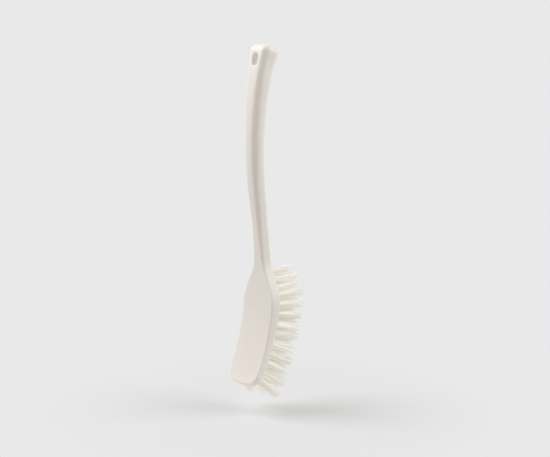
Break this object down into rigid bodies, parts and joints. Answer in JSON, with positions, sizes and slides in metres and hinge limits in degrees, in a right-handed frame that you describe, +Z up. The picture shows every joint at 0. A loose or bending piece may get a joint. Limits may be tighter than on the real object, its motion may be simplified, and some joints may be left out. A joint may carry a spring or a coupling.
{
  "type": "long-handled cleaning brush",
  "caption": "Long-handled cleaning brush moulded in one piece, with a bowed grip, a hanging slot and a curved head full of anchored bristle tufts.",
  "frame": {"origin": "middle of the hanging slot, on the centre line of the handle", "axes": "+Z up the handle as the brush hangs, +Y the way the bristles point, +X across the head; the plane X = 0 is the brush's middle plane"},
  "size_m": [0.0556, 0.075, 0.4058],
  "materials": {
    "handle_plastic": "satin moulded polypropylene, slightly warm white",
    "bristle": "semi-gloss polyester filament, warm off-white"
  },
  "bodies": {
    "root": {"handle_and_head": "handle_plastic", "tuft_row_1_01": "bristle", "tuft_row_1_02": "bristle", "tuft_row_1_03": "bristle", "tuft_row_1_04": "bristle", "tuft_row_1_05": "bristle", "tuft_row_1_06": "bristle", "tuft_row_1_07": "bristle", "tuft_row_1_08": "bristle", "tuft_row_1_09": "bristle", "tuft_row_1_10": "bristle", "tuft_row_2_01": "bristle", "tuft_row_2_02": "bristle", "tuft_row_2_03": "bristle", "tuft_row_2_04": "bristle", "tuft_row_2_05": "bristle", "tuft_row_2_06": "bristle", "tuft_row_2_07": "bristle", "tuft_row_2_08": "bristle", "tuft_row_2_09": "bristle", "tuft_row_2_10": "bristle", "tuft_row_2_11": "bristle", "tuft_row_3_01": "bristle", "tuft_row_3_02": "bristle", "tuft_row_3_03": "bristle", "tuft_row_3_04": "bristle", "tuft_row_3_05": "bristle", "tuft_row_3_06": "bristle", "tuft_row_3_07": "bristle", "tuft_row_3_08": "bristle", "tuft_row_3_09": "bristle", "tuft_row_3_10": "bristle", "tuft_row_3_11": "bristle", "tuft_row_3_12": "bristle", "tuft_row_4_01": "bristle", "tuft_row_4_02": "bristle", "tuft_row_4_03": "bristle", "tuft_row_4_04": "bristle", "tuft_row_4_05": "bristle", "tuft_row_4_06": "bristle", "tuft_row_4_07": "bristle", "tuft_row_4_08": "bristle", "tuft_row_4_09": "bristle", "tuft_row_4_10": "bristle", "tuft_row_4_11": "bristle", "tuft_row_5_01": "bristle", "tuft_row_5_02": "bristle", "tuft_row_5_03": "bristle", "tuft_row_5_04": "bristle", "tuft_row_5_05": "bristle", "tuft_row_5_06": "bristle", "tuft_row_5_07": "bristle", "tuft_row_5_08": "bristle", "tuft_row_5_09": "bristle", "tuft_row_5_10": "bristle"}
  },
  "joints": []
}
